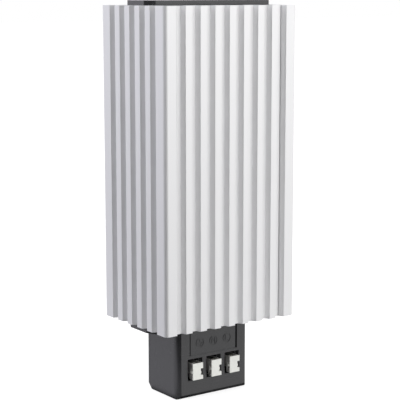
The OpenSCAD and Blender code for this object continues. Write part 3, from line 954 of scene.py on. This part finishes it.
@dataclass
class TerminalBox(SubAssembly):
    """The black housing of the terminals, its cover at the back and its two screws."""

    node: str = "terminal_housing"
    edge_round: float = 0.25 * MM
    edge_steps: int = 3
    panel_round: float = 0.1 * MM
    mark_round: float = 0.05 * MM
    fine_steps: int = 2
    screw_round: float = 0.06 * MM
    mark_half_w: float = 10.2 * MM
    mark_low: float = 22 * MM
    mark_high: float = 27.6 * MM
    mark_back: float = -9.9 * MM
    panel_half_w: float = 13.2 * MM
    panel_low: float = 19.3 * MM
    wall: float = 1.75 * MM
    half_w: float = 19.4 * MM
    flange_under: float = 32.2 * MM
    cover_front: float = 11.1 * MM
    near: float = 0.1 * MM

    def __post_init__(self) -> None:
        """Looks up where the housing is."""
        self.low, self.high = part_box(self.node)

    def in_marks(self, edge: bmesh.types.BMEdge) -> bool:
        """Tells whether an edge belongs to the sunk terminal marks.

        Args:
            edge: The edge.

        Returns:
            True for an edge of a mark.
        """
        middle = Bench.middle(edge)
        level = self.mark_low < middle.z < self.mark_high
        return level and abs(middle.x) < self.mark_half_w and middle.y < self.mark_back

    def in_panel(self, edge: bmesh.types.BMEdge) -> bool:
        """Tells whether an edge belongs to the sunk panel or its grooves, but not to the marks.

        Args:
            edge: The edge.

        Returns:
            True for an edge of the panel.
        """
        middle = Bench.middle(edge)
        inside = abs(middle.x) < self.panel_half_w and middle.z > self.panel_low
        front = middle.y < self.low.y + self.wall / 2
        return inside and front and not self.in_marks(edge)

    def on_shell(self, edge: bmesh.types.BMEdge) -> bool:
        """Tells whether an edge is on the outside of the housing or round its openings.

        Args:
            edge: The edge.

        Returns:
            True for an edge of the shell that isn't in the marks or the panel.
        """
        middle = Bench.middle(edge)
        front = middle.y < self.low.y + self.wall / 2
        side = self.half_w - self.wall / 2 < abs(middle.x)
        under = middle.z < self.wall
        flange = abs(middle.z - self.flange_under) < self.near
        outside = (front or side or under or flange) and middle.z < self.high.z - self.near
        return outside and not self.in_marks(edge) and not self.in_panel(edge)

    def on_cover(self, edge: bmesh.types.BMEdge) -> bool:
        """Tells whether an edge is sharp and on the outside of the cover."""
        return Bench.is_sharp(edge) and all(vert.co.y > self.cover_front for vert in edge.verts)

    def build(self) -> None:
        """Rounds the housing's edges, its marks and its cover."""
        housing = Bench.copy_of(self.node, "terminal_box")
        for width, steps, place in (
            (self.edge_round, self.edge_steps, self.on_shell),
            (self.panel_round, self.fine_steps, self.in_panel),
            (self.mark_round, self.fine_steps, self.in_marks),
        ):
            Bench.round_edges(
                housing,
                width,
                steps,
                lambda edge, place=place: Bench.is_ridge(edge) and place(edge),
            )
        Bench.smooth(housing, Bench.FINE_CREASE)
        self.keep(housing, self.node, Body.HEATER, Palette.BLACK)
        cover = Bench.copy_of("rear_cover", "terminal_box_cover")
        Bench.round_edges(cover, self.edge_round, self.edge_steps, self.on_cover)
        Bench.smooth(cover)
        self.keep(cover, "rear_cover", Body.HEATER, Palette.BLACK)
        self.keep_rounded(
            "housing_screw_pair", "housing_screws", Body.HEATER, Palette.ZINC, self.screw_round
        )


@dataclass
class Terminals(SubAssembly):
    """Three spring clamps: white pushers, sheet-metal yokes, leaf springs and contact bars."""

    bodies: tuple[Body, ...] = (Body.PUSHER_1, Body.PUSHER_2, Body.PUSHER_3)
    pusher_round: float = 0.1 * MM
    pusher_steps: int = 3
    yoke_round: float = 0.06 * MM
    travel: float = 2 * MM

    def build(self) -> None:
        """Makes the three clamps, each on its own body."""
        for number, body in enumerate(self.bodies, 1):
            self.keep_rounded(
                f"clamp_pusher_{number}",
                f"terminal_pusher_{number}",
                body,
                Palette.WHITE,
                self.pusher_round,
                self.pusher_steps,
            )
            self.keep_rounded(
                f"clamp_stirrup_{number}",
                f"clamp_yoke_{number}",
                body,
                Palette.NICKEL,
                self.yoke_round,
            )
            self.add_spring(number)
            self.show(f"contact_bar_{number}", Palette.TIN)

    def add_spring(self, number: int) -> None:
        """Makes a leaf spring that stays on the heater's body, with a mesh of its own.

        Args:
            number: Number of the terminal.
        """
        node = f"clamp_spring_{number}"
        spring = Bench.copy_of(node, f"leaf_spring_{number}")
        Bench.smooth(spring)
        self.keep(spring, node, Body.HEATER, Palette.SPRING)
        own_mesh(spring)


@dataclass
class HeatingElement(SubAssembly):
    """The sealed stack in the chamber: tablets, contact plates, film, wedges and wiring."""

    finishes: Mapping[str, Finish] = field(
        default_factory=lambda: {
            "ptc_tablets": Palette.CERAMIC,
            "contact_plate_live": Palette.BRASS,
            "contact_plate_neutral": Palette.BRASS,
            "insulating_sleeve": Palette.FILM,
            "wedge_fixed": Palette.WEDGE,
            "wedge_driven": Palette.WEDGE,
            "tab_receptacle_live": Palette.BRASS,
            "tab_receptacle_neutral": Palette.BRASS,
            "live_lead": Palette.BROWN,
            "neutral_lead": Palette.BLUE,
            "earth_lead": Palette.GREEN,
            "earth_lug": Palette.TIN,
            "earth_screw": Palette.BRASS,
        }
    )

    def build(self) -> None:
        """Dresses the CAD nodes that the housing and the profile enclose."""
        for node, finish in self.finishes.items():
            self.show(node, finish)


@dataclass
class RailClip(SubAssembly):
    """The spring-steel clip for the mounting rail, with its two screws."""

    edge_round: float = 0.12 * MM
    screw_round: float = 0.06 * MM

    def build(self) -> None:
        """Rounds the clip's punched edges and the screws' heads."""
        self.keep_rounded(
            "rail_spring_clip", "rail_clip", Body.HEATER, Palette.SPRING, self.edge_round
        )
        self.keep_rounded(
            "clip_screw_pair", "rail_clip_screws", Body.HEATER, Palette.ZINC, self.screw_round
        )


@dataclass(frozen=True)
class SoftBox:
    """A square soft lamp."""

    name: str
    place: Place
    colour: Colour
    size: float = 0.9
    power: float = 6.0

    def build(self, target: Place) -> None:
        """Makes the lamp.

        Args:
            target: The point that it faces.
        """
        data = bpy.data.lights.new(self.name, "AREA")
        data.size = self.size
        data.energy = self.power
        data.color = self.colour
        lamp = bpy.data.objects.new(self.name, data)
        bpy.context.scene.collection.objects.link(lamp)
        lamp.location = self.place
        aim = Vector(target) - Vector(self.place)
        lamp.rotation_mode = "QUATERNION"
        lamp.rotation_quaternion = aim.to_track_quat("-Z", "Y")


@dataclass
class Studio:
    """White floor and surround with a dark side for the gloss, two soft boxes and the camera."""

    floor_size: float = 12.0
    floor_colour: Colour = (0.45, 0.45, 0.45)
    floor_glow: float = 0.75
    floor_bounce: Colour = (0.8, 0.8, 0.8)
    yaw: float = math.radians(35.275)
    pitch: float = math.radians(9.163)
    roll: float = math.radians(0.053)
    camera_place: Place = (-0.33337, -0.47191, 0.18066)
    clip: Span = (0.01, 100.0)
    focal_pixels: float = 1299.0
    frame_pixels: float = 400.0
    sensor: float = 36.0
    side_axis: Place = (0.574, -0.819, 0.0)
    side_span: Span = (-0.5, 0.5)
    dark_axis: Place = (-0.8829, -0.4695, 0.0)
    dark_span: Span = (0.5, 0.66)
    right_panel: Colour = (1.25, 1.25, 1.26)
    left_panel: Colour = (1.09, 1.08, 1.16)
    dark_side: Colour = (0.08, 0.08, 0.08)
    overhead: Span = (0.25, 0.6)
    even_light: float = 0.85
    floor_share: float = 0.74
    # The next three fields paint a shadow under the object into the floor's gloss light: the foot's
    # half sizes, the edge over which the shadow fades out, and how much light stays under it.
    foot: Span = (0.0194, 0.0112)
    contact: Span = (-0.001, 0.005)
    painted_shadow_level: float = 0.1
    # The next two fields paint shade into the floor's gloss light, dimming it towards the object: the
    # reach over which the shade fades, and how much light stays next to the object.
    painted_dimming_reach: Span = (0.08, 0.7)
    painted_dimming_level: float = 0.8
    dark_floor: Span = (0.04, 0.2)
    dark_narrowing: float = 0.4
    lamp_target: Place = (0.0, 0.0, 0.09)
    lamps: tuple[SoftBox, ...] = (
        SoftBox("left_soft_box", (-1.1, 0.35, 0.9), (0.95, 0.97, 1.0)),
        SoftBox("right_soft_box", (0.7, -1.1, 0.9), (1.0, 0.99, 0.97)),
    )

    def surround(self, nodes: Nodes, direction: Value, narrowing: Value) -> Value:
        """Colour of the surround as gloss sees it: bright, but for a dark side near the camera.

        Args:
            nodes: The tree of the floor or of the world.
            direction: Direction from the object, of any length.
            narrowing: Narrows the dark side, from 0 for all of it to 1 for none.

        Returns:
            The colour.
        """
        flat = nodes.vector_maths("NORMALIZE", nodes.stretched(direction, (1, 1, 0)))
        side, dark = (
            nodes.vector_maths("DOT_PRODUCT", flat, axis, out="Value")
            for axis in (self.side_axis, self.dark_axis)
        )
        panels = nodes.blended(side.between(*self.side_span), self.left_panel, self.right_panel)
        return nodes.blended((dark - narrowing).between(*self.dark_span), panels, self.dark_side)

    def white_rays(self, nodes: Nodes) -> Value:
        """1 for a camera or transmission ray, which sees plain white, and else 0."""
        return nodes.ray(Ray.CAMERA) | nodes.ray(Ray.TRANSMISSION)

    def build_world(self) -> None:
        """Makes the surround: white to look at, panels for gloss, and an even light."""
        world = bpy.data.worlds.new("studio_surround")
        bpy.context.scene.world = world
        world.use_nodes = True
        nodes = Nodes(world.node_tree)
        around = nodes.add("ShaderNodeTexCoord", out="Generated")
        rise = nodes.part(around, Axis.Z).between(*self.overhead)
        seen, panels, light = (
            nodes.add("ShaderNodeBackground", sockets={"Color": colour, "Strength": strength})
            for colour, strength in (
                (WHITE_LIGHT, 1.0),
                (self.surround(nodes, around, rise), 1.0),
                (WHITE_LIGHT, self.even_light),
            )
        )
        unseen = nodes.mixed(nodes.ray(Ray.GLOSSY), light, panels)
        mixed = nodes.mixed(self.white_rays(nodes), unseen, seen)
        nodes.add("ShaderNodeOutputWorld", sockets={"Surface": mixed})

    def floor_light(self, nodes: Nodes) -> Value:
        """Shader of the floor as gloss sees it: the surround, with a painted shadow under the
        object's foot and painted shade that dims the floor towards the object.

        Args:
            nodes: The floor's tree.

        Returns:
            The shader.
        """
        place = nodes.place()
        reach = nodes.vector_maths("LENGTH", place, out="Value")
        beside_x, beside_y = (
            abs(nodes.part(place, axis)) - half for axis, half in zip((Axis.X, Axis.Y), self.foot)
        )
        # Painted shadow: the floor's gloss light drops under the object's foot and comes back within
        # a few millimetres beyond it.
        contact = (beside_x | beside_y).between(*self.contact)
        shade = self.painted_shadow_level + (1 - self.painted_shadow_level) * contact
        # Painted shade: the floor's gloss light is dimmed towards the object.
        painted_dimming = self.painted_dimming_level + (1 - self.painted_dimming_level) * reach.between(*self.painted_dimming_reach)
        narrowing = self.dark_narrowing - self.dark_narrowing * reach.between(*self.dark_floor)
        sockets = {
            "Color": self.surround(nodes, place, narrowing),
            "Strength": self.floor_share * (shade * painted_dimming),
        }
        return nodes.add("ShaderNodeEmission", sockets=sockets)

    def build_floor(self) -> None:
        """Makes the pale floor, which keeps the object's shadow."""
        bpy.ops.object.select_all(action="DESELECT")
        bpy.ops.mesh.primitive_plane_add(size=self.floor_size, location=(0, 0, 0))
        floor = bpy.context.view_layer.objects.active
        floor.name = "studio_floor"
        material = bpy.data.materials.new("studio_floor_finish")
        material.use_nodes = True
        nodes = Nodes(material.node_tree)
        lit, bounce = (
            nodes.add("ShaderNodeBsdfDiffuse", sockets={"Color": colour})
            for colour in (self.floor_colour, self.floor_bounce)
        )
        glow = nodes.add(
            "ShaderNodeEmission", sockets={"Color": WHITE_LIGHT, "Strength": self.floor_glow}
        )
        seen = nodes.add("ShaderNodeAddShader", sockets={0: lit, 1: glow})
        unseen = nodes.mixed(nodes.ray(Ray.GLOSSY), bounce, self.floor_light(nodes))
        nodes.output(nodes.mixed(self.white_rays(nodes), unseen, seen))
        floor.data.materials.append(material)

    def build_camera(self) -> None:
        """Makes the camera at the photograph's place and angle."""
        data = bpy.data.cameras.new("photo_camera")
        data.sensor_width = self.sensor
        data.lens = self.focal_pixels / self.frame_pixels * self.sensor
        data.clip_start, data.clip_end = self.clip
        camera = bpy.data.objects.new("photo_camera", data)
        bpy.context.scene.collection.objects.link(camera)
        ahead = Vector(
            (
                math.sin(self.yaw) * math.cos(self.pitch),
                math.cos(self.yaw) * math.cos(self.pitch),
                -math.sin(self.pitch),
            )
        )
        camera.location = self.camera_place
        camera.rotation_mode = "QUATERNION"
        camera.rotation_quaternion = Quaternion(ahead, self.roll) @ ahead.to_track_quat("-Z", "Y")
        bpy.context.scene.camera = camera

    def build(self) -> None:
        """Sets the stage."""
        bpy.context.scene.view_settings.view_transform = "Standard"
        self.build_world()
        self.build_floor()
        for lamp in self.lamps:
            lamp.build(self.lamp_target)
        self.build_camera()


def main() -> None:
    """Builds the heater's sub-assemblies and the studio in order."""
    logging.basicConfig(level=logging.INFO, format="%(name)s: %(message)s")
    groups = (HeatSink(), TopCap(), TerminalBox(), Terminals(), HeatingElement(), RailClip())
    for group in groups:
        group.build()
        for piece in group.pieces:
            faces = len(piece.data.polygons)
            LOG.info("%s: %s, %d faces", type(group).__name__, piece.name, faces)
    Studio().build()


if __name__ == "__main__":
    main()
